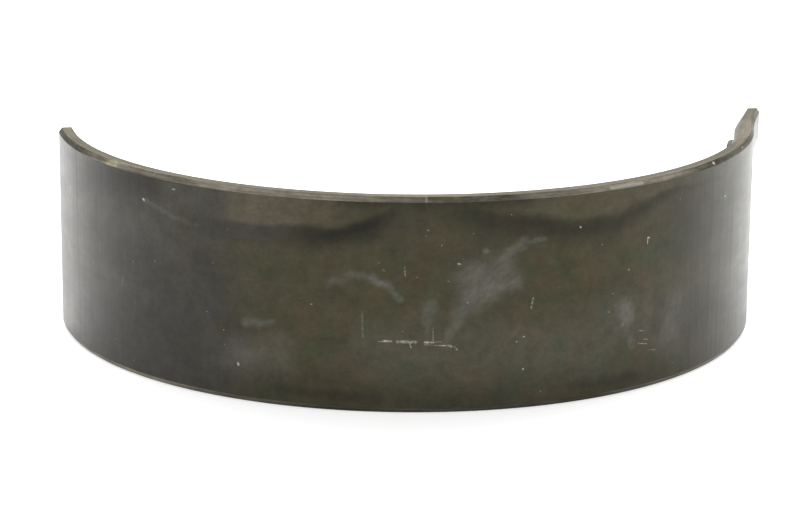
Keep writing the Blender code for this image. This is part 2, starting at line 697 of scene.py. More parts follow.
    def run(
        self, section: bpy.types.Mesh, finishes: dict[Zone, bpy.types.Material]
    ) -> bpy.types.Mesh:
        """Put a section through the tree.

        Args:
            section: The wall's outline.
            finishes: The material of each zone.

        Returns:
            The shell as a plain mesh.
        """
        blank = bpy.data.objects.new("wall_section", section)
        bpy.context.scene.collection.objects.link(blank)
        press = blank.modifiers.new("roll_and_press", "NODES")
        press.node_group = self.tree
        values = {name: getattr(self.sizes, size) * MM for name, size in self.SIZES.items()}
        values["Joint Round"] = self.joint_round * MM
        values["Stations"] = self.stations
        values["Journal Axis"] = tuple(place * MM for place in self.sizes.journal_axis)
        values |= {zone.socket: material for zone, material in finishes.items()}
        for name, value in values.items():
            press[self.identifiers[name]] = value
        evaluated = blank.evaluated_get(bpy.context.evaluated_depsgraph_get())
        shell = bpy.data.meshes.new_from_object(evaluated)
        bpy.data.objects.remove(blank, do_unlink=True)
        for name in self.CARRIED:
            if name in shell.attributes:
                shell.attributes.remove(shell.attributes[name])
        return shell


@dataclass(frozen=True)
class StripMark:
    """A straight mark on the strip, from place to place in millimetres along and up."""

    start: Pair
    end: Pair
    half_width: float
    strength: float


def strip_marks(*rows: tuple[Pair, Pair, float, float]) -> tuple[StripMark, ...]:
    """Marks from rows that hold their start, end, half width and strength."""
    return tuple(StripMark(*row) for row in rows)


@dataclass(frozen=True)
class Grain:
    """A random pattern on the strip.

    Size is its grain's size along, up and through the wall, in millimetres. Its dark parts give
    low and its light parts high, and edges are where in the noise the dark ends and the light
    begins. Detail is how many finer layers it has, and rough how strong each of them is against
    the one before. Turn is the direction of the grain's length on the strip, in degrees.
    """

    size: tuple[float, float, float]
    low: float = 0.0
    high: float = 1.0
    detail: float = 2.0
    edges: Pair = (0.3, 0.7)
    rough: float = 0.7
    turn: float = 0.0


class Surface:
    """A material being built on the strip's own millimetres: along, up and through the wall."""

    # The noise that pushes a ragged outline about, and how far it does, in millimetres.
    WANDERING = {"Scale": 0.9, "Detail": 4.0, "Roughness": 0.6}
    WANDER_MM = 0.6
    NOISE_MIDDLE = (0.5, 0.5, 0.5)

    # The smallest and largest speck of dust, in cells, and how much of the faintest shows.
    SPECKS: Pair = (0.015, 0.034)
    FAINTEST = 0.2

    def __init__(self, name: str) -> None:
        """Start the material.

        Args:
            name: What the finish is.
        """
        self.material = bpy.data.materials.new(name)
        self.material.use_nodes = True
        self.tree = self.material.node_tree
        self.shader = self.tree.nodes["Principled BSDF"]
        read = add_node(self.tree, "ShaderNodeAttribute", attribute_name=ON_STRIP)
        self.place = read.outputs["Vector"]
        self.along, self.height, self.depth = self.add("ShaderNodeSeparateXYZ", self.place).outputs
        self.wandered: bpy.types.NodeSocket | None = None

    def add(self, kind: str, *values: Any, **settings: Any) -> bpy.types.Node:
        """Add a node to this material, as add_node does."""
        return add_node(self.tree, kind, *values, **settings)

    def chained(self, operation: str, *numbers: Any) -> bpy.types.Node:
        """Join two or more numbers by one operation, from the first to the last.

        Args:
            operation: The operation's name, such as ADD.
            *numbers: The numbers.

        Returns:
            The node that gives the result.
        """
        result, *others = numbers
        for number in others:
            result = self.add(MATH, result, number, operation=operation)
        return result

    def pattern(self, grain: Grain) -> bpy.types.Node:
        """Lay a random pattern on the strip.

        Args:
            grain: The pattern.

        Returns:
            The node that gives the number.
        """
        laid: Any = self.place
        if grain.turn:
            settings = {"rotation_type": "Z_AXIS", "inputs": {"Angle": -math.radians(grain.turn)}}
            laid = self.add("ShaderNodeVectorRotate", self.place, **settings)
        per_mm = tuple(1.0 / size for size in grain.size)
        spread = self.add(VECTOR, laid, per_mm, operation="MULTIPLY")
        inputs = {"Vector": spread, "Scale": 1.0, "Detail": grain.detail, "Roughness": grain.rough}
        noise = self.add("ShaderNodeTexNoise", inputs=inputs)
        return self.add(RANGE, noise, *grain.edges, grain.low, grain.high)

    def wandering(self) -> bpy.types.NodeSocket:
        """The place on the strip, pushed about a little, which gives marks a ragged outline.

        Returns:
            The socket that gives the place.
        """
        if self.wandered is None:
            noise = self.add("ShaderNodeTexNoise", inputs={"Vector": self.place} | self.WANDERING)
            push = noise.outputs["Color"]
            push = self.add(VECTOR, push, self.NOISE_MIDDLE, operation="SUBTRACT")
            push = self.add(VECTOR, push, operation="SCALE", inputs={"Scale": self.WANDER_MM})
            moved = self.add(VECTOR, push, self.place, operation="ADD")
            self.wandered = moved.outputs["Vector"]
        return self.wandered

    def dust(self, apart_mm: float, share: float, strength: float) -> bpy.types.Node:
        """Specks of dust strewn over the surface.

        Args:
            apart_mm: Size of the cells that hold one speck at most.
            share: How many of the cells hold one.
            strength: How much of the brightest speck shows.

        Returns:
            The node that gives how much dust there is.
        """
        inputs = {"Vector": self.place, "Scale": 1.0 / apart_mm}
        cells = self.add("ShaderNodeTexVoronoi", voronoi_dimensions="2D", inputs=inputs)
        chance = self.add("ShaderNodeSeparateColor", cells.outputs["Color"]).outputs
        chosen = self.add(MATH, chance["Red"], share, operation="LESS_THAN")
        outer = self.add(RANGE, chance["Green"], 0.0, 1.0, *self.SPECKS)
        near = self.add(RANGE, cells.outputs["Distance"], 0.0, outer, 1.0, 0.0)
        bright = self.add(RANGE, chance["Blue"], 0.0, 1.0, self.FAINTEST, strength)
        return self.chained("MULTIPLY", near, chosen, bright)

    def marked(self, marks: tuple[StripMark, ...], wander: Any = None) -> bpy.types.NodeSocket:
        """Where some marks lie.

        Args:
            marks: The marks, of which the strongest counts at each place.
            wander: A place to measure from instead of the strip's, for a ragged outline.

        Returns:
            The socket that gives a share from 0 to the mark's strength.
        """
        so_far = self.add(VECTOR, wander or self.place, ALONG_AND_UP, operation="MULTIPLY")
        for mark in marks:
            numbers = {"Half Width": mark.half_width, "Strength": mark.strength}
            places = {"Start": (*mark.start, 0.0), "End": (*mark.end, 0.0)}
            one = self.add("ShaderNodeGroup", node_tree=mark_group())
            for name, value in (numbers | places).items():
                one.inputs[name].default_value = value
            self.tree.links.new(so_far.outputs[0], one.inputs["So Far"])
            so_far = one
        return self.add("ShaderNodeSeparateXYZ", so_far).outputs["Z"]

    def drawn(self, points: tuple[Pair, ...], over: Any = None) -> bpy.types.Node:
        """A number that follows a drawn line.

        Args:
            points: Place and number of each point of the line, in order.
            over: What the places are measured on, else the way along the strip.

        Returns:
            The node that gives the number.
        """
        places, numbers = zip(*points)
        first, last = places[0], places[-1]
        low, high = min(numbers), max(numbers)
        share = self.add(RANGE, self.along if over is None else over, first, last, 0.0, 1.0)
        line = self.add("ShaderNodeFloatCurve", 1.0, share)
        curve = line.mapping.curves[0]
        spots = [((x - first) / (last - first), (y - low) / (high - low)) for x, y in points]
        for place, spot in zip((0, 1), (spots[0], spots[-1])):
            curve.points[place].location = spot
        for spot in spots[1:-1]:
            curve.points.new(*spot)
        line.mapping.update()
        return self.add(RANGE, line, 0.0, 1.0, low, high)

    def finished(self, **inputs: Any) -> bpy.types.Material:
        """Set the shader and give the material.

        Args:
            **inputs: The shader's inputs, with low lines for the gaps in their names.

        Returns:
            The finished material.
        """
        for name, value in inputs.items():
            feed(self.tree, self.shader.inputs[name.replace("_", " ")], value)
        return self.material


def mark_group() -> bpy.types.NodeTree:
    """The node group that lays one straight mark over the marks before it.

    Its vector holds the place on the strip in X and Y, and the share of the marks so far in Z.

    Returns:
        The group, made once.
    """
    name = "straight_mark"
    if name in bpy.data.node_groups:
        return bpy.data.node_groups[name]
    tree = bpy.data.node_groups.new(name, "ShaderNodeTree")
    kinds = {"So Far": "NodeSocketVector", "Start": "NodeSocketVector", "End": "NodeSocketVector"}
    kinds |= {"Half Width": "NodeSocketFloat", "Strength": "NodeSocketFloat"}
    for label, kind in kinds.items():
        tree.interface.new_socket(label, in_out="INPUT", socket_type=kind)
    tree.interface.new_socket("So Far", in_out="OUTPUT", socket_type="NodeSocketVector")
    given = add_node(tree, "NodeGroupInput").outputs
    flat = add_node(tree, VECTOR, given["So Far"], ALONG_AND_UP, operation="MULTIPLY")
    from_start = add_node(tree, VECTOR, flat, given["Start"], operation="SUBTRACT")
    whole = add_node(tree, VECTOR, given["End"], given["Start"], operation="SUBTRACT")
    onto = add_node(tree, VECTOR, from_start, whole, operation="DOT_PRODUCT")
    square = add_node(tree, VECTOR, whole, whole, operation="DOT_PRODUCT")
    share = add_node(tree, MATH, onto, square, operation="DIVIDE", use_clamp=True)
    nearest = add_node(tree, VECTOR, whole, operation="SCALE", inputs={"Scale": share})
    across = add_node(tree, VECTOR, from_start, nearest, operation="SUBTRACT")
    distance = add_node(tree, VECTOR, across, operation="LENGTH")
    near = add_node(tree, RANGE, distance, 0.0, given["Half Width"], 1.0, 0.0, **SMOOTH)
    strong = add_node(tree, MATH, near, given["Strength"], operation="MULTIPLY")
    before = add_node(tree, "ShaderNodeSeparateXYZ", given["So Far"]).outputs["Z"]
    strongest = add_node(tree, MATH, before, strong, operation="MAXIMUM")
    raised = add_node(tree, "ShaderNodeCombineXYZ", 0.0, 0.0, strongest)
    laid = add_node(tree, VECTOR, flat, raised, operation="ADD")
    add_node(tree, "NodeGroupOutput", laid)
    return tree


@dataclass(frozen=True)
class Wipe:
    """A pale smear: its strokes, and the direction of its streaks in degrees."""

    strokes: tuple[StripMark, ...]
    turn: float = 0.0


@dataclass(frozen=True)
class OiledRolledSteel:
    """The back: cold-rolled low-carbon steel strip under a film of old oil.

    Rolling leaves hairlines along the strip. The film dulls the steel to an olive grey, dries
    into a tide line under the upper edge, and wipes off in pale smears. Long dark marks along the
    foot of the back are painted shade.
    """

    name: str = "oiled_cold_rolled_steel"
    grey: str = "#3a3833"
    olive: str = "#383623"
    moss: str = "#39392b"
    brown: str = "#46392b"
    green: str = "#323827"
    # Colour of the tide line, the stains and the painted shade along the foot of the back.
    dark: str = "#161411"
    washed: str = "#504b3c"
    pale: str = "#676661"
    bare: str = "#aba9a0"
    dust: str = "#bab9b4"
    roughness: float = 0.36
    film: float = 0.285

    # How the film's colours take turns along the strip.
    olive_slant: Span = (10.5, 13.0, 0.0, 4.0)
    olive_share: Span = (-20.0, -12.0, 0.0, 0.85)
    moss_share: Span = (10.0, 22.0, 0.0, 0.85)
    blotches: Grain = Grain((4.0, 3.0, 3.0), -0.3, 0.3)
    tints: Grain = Grain((2.2, 1.8, 2.0), detail=3.0)
    tint_depth: float = 0.55

    # The tide line's ragged edge, and the washed-out film over it.
    tide_ragged: Grain = Grain((2.5, 1.5, 1.0), -0.13, 0.13)
    washed_above: Span = (-0.45, -1.1, 0.0, 1.0)
    washed_fibres: Grain = Grain((1.2, 0.25, 1.0), 0.6, 1.0, detail=3.0, turn=12.0)
    wipe_streaks: Grain = Grain((1.0, 0.24, 1.0), 0.45, 1.05, detail=4.0)

    # Fine texture: rolling lines, patina, broken scratches, dust, dull patches and low waves.
    hairlines: Grain = Grain((2.6, 0.07, 1.0))
    hairline_shade: Span = (0.0, 1.0, 0.97, 1.03)
    hairline_mm: float = 0.0004
    patina: Grain = Grain((1.5, 1.5, 1.5), 0.77, 1.23, 6.0, (0.35, 0.65), 0.85)
    scratch_breaks: Grain = Grain((0.2, 0.08, 0.2), 0.15, 1.0, edges=(0.42, 0.6))
    dust_apart_mm: float = 2.4
    dusty_cells: float = 0.14
    dust_strength: float = 0.45
    dulling: Grain = Grain((3.0, 1.2, 1.0), -0.04, 0.05, detail=4.0)
    wipe_dulls: float = 0.1
    dust_dulls: float = 0.4
    waves: Grain = Grain((1.6, 30.0, 40.0))
    wave_mm: float = 0.011

    # By the place along the strip: the height of the tide line where it is darkest.
    tide_middle: tuple[Pair, ...] = (
        (-22.0, 12.2), (-16.0, 12.25), (-12.0, 12.35), (-10.0, 12.5), (-8.0, 12.95),
        (-6.0, 13.75), (-5.0, 14.5), (-4.0, 14.9), (-2.0, 14.9), (0.0, 14.25), (1.2, 13.55),
        (4.0, 13.25), (6.0, 12.75), (8.2, 12.45), (10.0, 12.5), (12.0, 13.05), (14.0, 13.5),
        (16.0, 13.95), (18.0, 14.0), (24.0, 13.75),
    )

    # How far it reaches to either side, in millimetres.
    tide_reach: tuple[Pair, ...] = (
        (-22.0, 0.8), (-12.0, 0.85), (-9.0, 0.8), (-6.0, 0.95), (-3.0, 0.8), (0.0, 1.3),
        (4.0, 0.9), (9.0, 0.95), (12.0, 0.85), (16.0, 0.5), (24.0, 0.45),
    )

    # How much of its colour shows.
    tide_depth: tuple[Pair, ...] = (
        (-22.0, 0.0), (-18.5, 0.25), (-16.0, 0.15), (-12.0, 0.5), (-10.0, 0.82), (-8.0, 0.88),
        (-6.0, 0.62), (-3.0, 0.4), (0.0, 0.55), (4.0, 0.6), (9.0, 0.55), (13.0, 0.5),
        (18.0, 0.5), (22.0, 0.35), (26.0, 0.0),
    )

    # Its colour across, from above it to below, in reaches from the darkest place.
    tide_shape: tuple[Pair, ...] = (
        (-1.0, 0.0), (-0.73, 0.22), (-0.5, 0.6), (-0.25, 0.93), (0.0, 1.0), (0.4, 0.82),
        (1.0, 0.4), (1.8, 0.0),
    )

    # By the place along the strip: how far the film over the line is washed out.
    washed_depth: tuple[Pair, ...] = (
        (-24.0, 0.1), (-18.4, 0.15), (-17.0, 0.85), (-16.0, 1.0), (-14.0, 0.85), (-11.0, 0.55),
        (-8.5, 0.2), (-6.0, 0.0), (2.0, 0.0), (4.0, 0.28), (8.0, 0.46), (14.0, 0.45),
        (19.0, 0.0),
    )

    # Dark stains and painted shade, pale haze, wiped smears, scratches and larger specks, where the
    # photo has them. The long dark marks along the foot of the back, from 0.1 to 1.2 millimetres up,
    # are painted shade.
    stains_and_shade: tuple[StripMark, ...] = strip_marks(
        ((-31.0, 3.5), (-22.0, 4.5), 6.0, 0.35), ((-32.0, 13.8), (-24.5, 14.6), 2.8, 0.66),
        ((-28.5, 8.4), (-23.0, 7.6), 3.4, 0.36), ((-34.5, 0.5), (-34.5, 15.0), 0.42, 0.95),
        ((-30.9, 2.0), (-31.0, 13.0), 1.1, 0.4), ((-28.5, 6.4), (-23.5, 6.2), 1.7, 0.25),
        ((-19.5, 9.5), (-17.5, 6.0), 3.0, 0.28), ((-13.5, 1.2), (-6.5, 1.1), 0.9, 0.4),
        ((7.5, 1.2), (13.0, 1.1), 0.9, 0.45), ((-18.0, 0.1), (16.0, 0.1), 0.36, 0.65),
        ((-18.0, 11.6), (-10.5, 11.8), 0.14, 0.2), ((-9.0, 15.0), (4.0, 15.0), 0.9, 0.5),
        ((17.0, 15.0), (26.0, 15.0), 0.15, 0.6), ((19.0, 11.5), (26.5, 9.5), 6.0, 0.46),
        ((19.5, 4.6), (29.0, 4.0), 4.4, 0.5), ((15.2, 5.8), (15.0, 4.4), 1.2, 0.45),
        ((-30.0, 0.8), (22.0, 0.8), 2.8, 0.16),
    )
    haze: tuple[StripMark, ...] = strip_marks(
        ((-39.5, 0.0), (-38.5, 9.0), 5.0, 0.75), ((-16.5, 3.2), (-13.5, 3.7), 2.3, 0.22),
        ((-6.0, 4.4), (9.0, 3.8), 4.0, 0.15), ((10.5, 5.2), (17.5, 5.0), 3.2, 0.14),
    )
    wipes: tuple[Wipe, ...] = (
        Wipe(
            strip_marks(
                ((5.2, 12.0), (3.6, 11.9), 0.35, 0.35), ((3.6, 11.9), (1.7, 10.6), 0.65, 0.45),
                ((2.1, 10.0), (0.0, 9.7), 1.9, 0.5), ((3.0, 9.05), (0.6, 8.5), 0.9, 0.55),
                ((1.3, 9.0), (0.0, 8.2), 1.7, 0.65), ((0.0, 8.2), (-0.9, 6.9), 1.1, 0.42),
                ((-0.9, 6.9), (-1.8, 5.0), 0.8, 0.4), ((0.86, 11.4), (0.94, 11.4), 0.36, 0.6),
            ),
            40.0,
        ),
        Wipe(
            strip_marks(
                ((-9.8, 9.1), (-8.3, 9.75), 0.6, 0.26), ((-8.3, 9.8), (-6.9, 9.65), 0.5, 0.36),
                ((-6.9, 9.55), (-5.9, 9.1), 0.52, 0.65), ((-5.9, 9.1), (-4.9, 8.1), 0.45, 0.42),
                ((-16.0, 5.7), (-14.9, 5.8), 0.55, 0.4), ((-15.1, 5.8), (-13.9, 6.0), 0.42, 0.36),
                ((-24.7, 13.1), (-22.7, 12.6), 0.3, 0.25), ((-22.7, 12.6), (-19.9, 12.1), 0.3, 0.18),
            ),
            -15.0,
        ),
        Wipe(
            strip_marks(
                ((11.8, 6.2), (12.0, 5.5), 1.4, 0.7), ((12.1, 5.0), (12.5, 3.7), 0.9, 0.4),
                ((16.9, 5.3), (16.4, 3.8), 2.7, 0.3), ((-2.9, 7.6), (-3.2, 6.6), 0.9, 0.38),
                ((-3.1, 6.3), (-3.0, 5.3), 0.4, 0.35), ((3.4, 5.9), (1.5, 3.8), 0.6, 0.22),
                ((5.2, 4.4), (5.8, 2.6), 1.0, 0.18),
            ),
            75.0,
        ),
    )
    scratches: tuple[StripMark, ...] = strip_marks(
        ((-6.4, 5.12), (-6.0, 5.12), 0.07, 0.6), ((-6.0, 5.18), (-5.5, 5.18), 0.12, 0.9),
        ((-5.1, 5.15), (-3.85, 5.13), 0.15, 1.0), ((-4.25, 5.1), (-4.15, 4.75), 0.09, 0.6),
        ((-3.2, 5.1), (-2.6, 5.1), 0.12, 0.9), ((-2.5, 5.12), (-2.1, 5.12), 0.08, 0.4),
        ((-3.2, 4.93), (-2.2, 4.87), 0.05, 0.6), ((-2.2, 4.86), (-1.4, 4.84), 0.07, 0.8),
        ((-1.6, 4.84), (-1.4, 4.78), 0.13, 1.0), ((-1.2, 4.75), (-1.1, 4.72), 0.08, 0.7),
        ((-1.05, 4.6), (-0.95, 4.52), 0.08, 0.6), ((-2.65, 6.1), (-2.63, 5.1), 0.07, 0.35),
        ((-7.52, 7.2), (-7.45, 5.4), 0.11, 0.18), ((-4.62, 10.4), (-4.58, 9.8), 0.08, 0.4),
        ((4.38, 7.9), (4.25, 7.2), 0.1, 0.45), ((-27.4, 7.1), (-27.6, 6.3), 0.1, 0.2),
        ((13.2, 4.4), (13.7, 4.3), 0.07, 0.4), ((13.2, 3.45), (14.0, 3.3), 0.07, 0.6),
        ((13.7, 3.68), (14.15, 3.6), 0.06, 0.4), ((14.2, 2.78), (14.9, 2.7), 0.06, 0.35),
    )
    specks: tuple[StripMark, ...] = strip_marks(
        ((-24.95, 13.2), (-24.85, 13.15), 0.12, 0.9), ((-22.0, 14.4), (-21.8, 14.4), 0.09, 0.4),
        ((-16.54, 2.7), (-16.5, 2.6), 0.12, 0.9), ((13.8, 11.05), (13.95, 11.05), 0.09, 0.8),
        ((13.82, 11.0), (13.78, 10.65), 0.06, 0.8), ((23.5, 12.3), (23.6, 12.25), 0.12, 0.6),
        ((7.87, 12.6), (7.9, 12.6), 0.1, 0.8), ((12.1, 9.05), (12.1, 8.98), 0.08, 0.4),
        ((3.72, 2.9), (3.75, 2.85), 0.09, 0.7), ((3.73, 5.2), (3.78, 5.2), 0.08, 0.6),
        ((3.2, 4.88), (3.25, 4.88), 0.07, 0.5), ((-18.55, 9.65), (-18.5, 9.65), 0.08, 0.15),
        ((-0.98, 10.63), (-0.85, 10.6), 0.09, 0.6), ((-3.1, 13.0), (-3.0, 13.0), 0.09, 0.2),
        ((-3.2, 12.6), (-3.18, 12.6), 0.09, 0.12), ((-6.4, 10.7), (-6.38, 10.7), 0.1, 0.12),
        ((-6.1, 10.2), (-6.0, 10.15), 0.1, 0.12), ((-3.8, 9.7), (-3.78, 9.7), 0.07, 0.2),
        ((-1.65, 9.4), (-1.6, 9.4), 0.09, 0.15), ((-0.3, 7.85), (-0.25, 7.85), 0.1, 0.25),
        ((10.42, 6.2), (10.46, 6.2), 0.07, 0.35), ((10.7, 7.5), (10.72, 7.5), 0.07, 0.3),
        ((11.7, 5.1), (11.72, 5.1), 0.08, 0.2), ((-17.68, 4.95), (-17.66, 4.95), 0.08, 0.3),
        ((-17.6, 3.9), (-17.58, 3.9), 0.07, 0.15), ((-17.3, 12.2), (-17.28, 12.2), 0.07, 0.12),
        ((-11.1, 7.53), (-11.0, 7.55), 0.06, 0.4), ((-2.2, 15.0), (-2.15, 15.0), 0.12, 0.6),
    )

    def build(self) -> bpy.types.Material:
        """Build the material.

        Returns:
            The finished material.
        """
        surface = Surface(self.name)
        add, chained, pattern = surface.add, surface.chained, surface.pattern

        # The film turns from grey over olive to moss along the strip, in soft blotches.
        slant = add(RANGE, surface.height, *self.olive_slant, **SMOOTH)
        slanted = add(MATH, surface.along, slant, operation="SUBTRACT")
        towards = add(RANGE, slanted, *self.olive_share, **SMOOTH)
        share = chained("ADD", towards, pattern(self.blotches))
        colour = add(MIX, share, linear(self.grey), linear(self.olive), **COLOURS)
        mossy = add(RANGE, surface.along, *self.moss_share, **SMOOTH)
        colour = add(MIX, mossy, colour, linear(self.moss), **COLOURS)
        tint = pattern(self.tints)
        tint = add(MIX, tint, linear(self.green), linear(self.brown), **COLOURS)
        colour = add(MIX, chained("MULTIPLY", share, self.tint_depth), colour, tint, **COLOURS)

        # The tide line is sharper above than below, and the film over it is washed out.
        level = chained("ADD", surface.height, pattern(self.tide_ragged))
        under = add(MATH, surface.drawn(self.tide_middle), level, operation="SUBTRACT")
        into = add(MATH, under, surface.drawn(self.tide_reach), operation="DIVIDE")
        shape = surface.drawn(self.tide_shape, over=into)
        stain_and_shade = chained("MULTIPLY", shape, surface.drawn(self.tide_depth))
        above = add(RANGE, into, *self.washed_above, **SMOOTH)
        fibres = pattern(self.washed_fibres)
        washed = chained("MULTIPLY", above, surface.drawn(self.washed_depth), fibres)
        colour = add(MIX, washed, colour, linear(self.washed), **COLOURS)
        # Dark stains, and painted shade along the foot of the back, join the tide line.
        spots = surface.marked(self.stains_and_shade, surface.wandering())
        stain_and_shade = add(MATH, stain_and_shade, spots, operation="MAXIMUM")
        colour = add(MIX, stain_and_shade, colour, linear(self.dark), **COLOURS)

        # Haze, and wiped smears with streaks along the wipe.
        wiped: Any = surface.marked(self.haze)
        for wipe in self.wipes:
            streaks = pattern(replace(self.wipe_streaks, turn=wipe.turn))
            strokes = surface.marked(wipe.strokes, surface.wandering())
            one = chained("MULTIPLY", strokes, streaks)
            wiped = add(MATH, wiped, one, operation="MAXIMUM")
        colour = add(MIX, wiped, colour, linear(self.pale), **COLOURS)

        # Patina in all sizes, hairlines of the rolling, scratches to bare steel, and dust.
        hairline = pattern(self.hairlines)
        patina = pattern(self.patina)
        shade = chained("MULTIPLY", patina, add(RANGE, hairline, *self.hairline_shade))
        colour = add(VECTOR, colour, operation="SCALE", inputs={"Scale": shade})
        broken = pattern(self.scratch_breaks)
        scratched = chained("MULTIPLY", surface.marked(self.scratches), broken)
        colour = add(MIX, scratched, colour, linear(self.bare), **COLOURS)
        strewn = surface.dust(self.dust_apart_mm, self.dusty_cells, self.dust_strength)
        dusty = add(MATH, strewn, surface.marked(self.specks), operation="MAXIMUM")
        colour = add(MIX, dusty, colour, linear(self.dust), **COLOURS)

        dulling = pattern(self.dulling)
        where_wiped = chained("MULTIPLY", wiped, self.wipe_dulls)
        where_dusty = chained("MULTIPLY", dusty, self.dust_dulls)
        dull = chained("ADD", dulling, where_wiped, where_dusty, self.roughness)
        metal = add(MATH, 1.0, dusty, operation="SUBTRACT")
        waves = {"Height": pattern(self.waves), "Distance": self.wave_mm * MM}
        normal = add(BUMP, inputs=waves)
        lines = {"Height": hairline, "Distance": self.hairline_mm * MM, "Normal": normal}
        normal = add(BUMP, inputs=lines)
        return surface.finished(
            Base_Color=colour,
            Metallic=metal,
            Roughness=dull,
            Normal=normal,
            Coat_Weight=self.film,
            Coat_Roughness=self.roughness,
        )


@dataclass(frozen=True)
class CutSteel:
    """Side faces and chamfers: turned low-carbon steel, with the lining showing at the bore.

    The tool leaves fine lines along the arc. The chamfers are brighter than the flats, and both
    carry brown stains and old black grime. The low part of the rim is darkened with painted shade,
    most towards the crown.
    """

    name: str = "turned_steel_rim"
    flat_steel: str = "#585348"
    chamfer_steel: str = "#827d71"
    stain: str = "#544a39"
    straw: str = "#bab38f"
    worn: str = "#7f7969"
    # Colour of the grime on the upper chamfers, and of the painted shade low on the rim.
    grime_and_shade: str = "#1f1f1b"
    nick: str = "#c4c1b7"
    lining: str = "#797872"
    width: float = ShellSizes.width

    # The chamfer's colour gives way to the flat's between these distances from the side face.
    flat_edge: Pair = (0.06, 0.02)
    edge_tint: tuple[float, float, float, float] = (0.75, 0.75, 0.72, 1.0)
    stain_blotches: Grain = Grain((2.0, 1.0, 0.5), 0.0, 0.45, 4.0, (0.4, 0.65))
    grime_patches: Grain = Grain((1.4, 0.3, 0.3), 0.55, 1.15, detail=4.0)
    grime_on_flat: Span = (0.0, 1.0, 1.0, 0.12)
    # Where the painted shade lies on the low part of the rim: it fades out between these heights, and
    # away from the crown between the next two distances.
    foot: Span = (1.0, 2.0, 1.0, 0.0)
    foot_shade: Span = (10.0, 26.0, 0.75, 0.0)
    tool_lines: Grain = Grain((6.0, 0.05, 0.04))
    line_shade: Span = (0.0, 1.0, 0.9, 1.1)
    line_mm: float = 0.0008
    streaks: Grain = Grain((5.0, 0.3, 0.18), 0.62, 1.38, detail=3.0)
    spots: Grain = Grain((0.5, 0.4, 0.4), 0.85, 1.15, detail=4.0)
    roughness: Grain = Grain((2.0, 0.6, 0.6), 0.35, 0.48)

    # By the place along the strip: how much grime lies on the upper chamfers.
    grime_depth: tuple[Pair, ...] = (
        (-41.0, 0.75), (-38.0, 0.95), (-34.5, 0.95), (-33.0, 0.65), (-31.5, 0.4), (-30.0, 0.35),
        (-29.2, 0.0), (-28.0, 0.0), (-26.5, 0.3), (-24.0, 0.15), (-21.0, 0.28), (-18.0, 0.0),
        (-12.0, 0.0), (-8.0, 0.15), (-5.0, 0.38), (-2.0, 0.62), (1.0, 0.75), (3.5, 0.45),
        (8.0, 0.2), (11.0, 0.0), (15.0, 0.1), (17.5, 0.4), (19.0, 0.65), (21.5, 0.9),
        (26.0, 0.5), (30.0, 0.6), (33.0, 0.2), (41.0, 0.15),
    )
    straws: tuple[StripMark, ...] = (StripMark((-29.2, 15.1), (-28.3, 15.1), 0.42, 0.72),)
    wear: tuple[StripMark, ...] = strip_marks(
        ((28.5, 15.3), (35.5, 15.3), 1.6, 0.5), ((-6.5, 15.3), (-1.0, 15.3), 2.0, 0.35),
        ((-41.0, 15.3), (-37.5, 15.3), 1.6, 0.3),
    )
    nicks: tuple[StripMark, ...] = strip_marks(
        ((21.5, 15.1), (21.6, 15.1), 0.14, 1.0), ((27.4, 15.1), (27.5, 15.1), 0.11, 0.7),
        ((-3.2, 15.2), (-3.2, 15.0), 0.14, 0.25), ((10.4, 15.05), (13.2, 15.05), 0.2, 0.35),
    )

    def build(self) -> bpy.types.Material:
        """Build the material.

        Returns:
            The finished material.
        """
        surface = Surface(self.name)
        add, chained, pattern = surface.add, surface.chained, surface.pattern
        half = self.width / 2.0
        from_middle = add(MATH, surface.height, half, operation="SUBTRACT")
        reach = add(MATH, from_middle, operation="ABSOLUTE")
        chamfered, flat = (half - below for below in self.flat_edge)
        on_flat = add(RANGE, reach, chamfered, flat, 0.0, 1.0)
        straw = surface.marked(self.straws, surface.wandering())
        colour = add(MIX, straw, linear(self.chamfer_steel), linear(self.straw), **COLOURS)
        worn = surface.marked(self.wear)
        flat_colour = add(MIX, worn, linear(self.flat_steel), linear(self.worn), **COLOURS)
        colour = add(MIX, on_flat, colour, flat_colour, **COLOURS)
        colour = add(MIX, pattern(self.stain_blotches), colour, linear(self.stain), **COLOURS)

        # Grime lies on the upper chamfers. Painted shade darkens the low part of the rim, by the face
        # that the shell stands on, most towards the crown.
        depth = surface.drawn(self.grime_depth)
        patchy = pattern(self.grime_patches)
        upper = chained("MULTIPLY", depth, patchy, add(RANGE, on_flat, *self.grime_on_flat))
        away = add(MATH, surface.along, operation="ABSOLUTE")
        below = add(RANGE, surface.height, *self.foot)
        low = chained("MULTIPLY", below, add(RANGE, away, *self.foot_shade))
        upper = chained("MULTIPLY", upper, add(MATH, 1.0, below, operation="SUBTRACT"))
        grime_and_shade_share = add(MATH, upper, low, operation="MAXIMUM", use_clamp=True)
        # Grime on the upper chamfers, and painted shade low on the rim.
        colour = add(MIX, grime_and_shade_share, colour, linear(self.grime_and_shade), **COLOURS)

        lined = add(RANGE, surface.depth, *LINING_ENDS, 1.0, 0.0)
        colour = add(MIX, lined, colour, linear(self.lining), **COLOURS)
        lines = pattern(self.tool_lines)
        streaks = pattern(self.streaks)
        spots = pattern(self.spots)
        shade = chained("MULTIPLY", streaks, add(RANGE, lines, *self.line_shade), spots)
        colour = add(VECTOR, colour, operation="SCALE", inputs={"Scale": shade})
        nicked = surface.marked(self.nicks)
        colour = add(MIX, nicked, colour, linear(self.nick), **COLOURS)
        dull = pattern(self.roughness)
        normal = add(BUMP, inputs={"Height": lines, "Distance": self.line_mm * MM})
        return surface.finished(
            Base_Color=colour,
            Metallic=1.0,
            Roughness=dull,
            Normal=normal,
            Specular_Tint=self.edge_tint,
        )


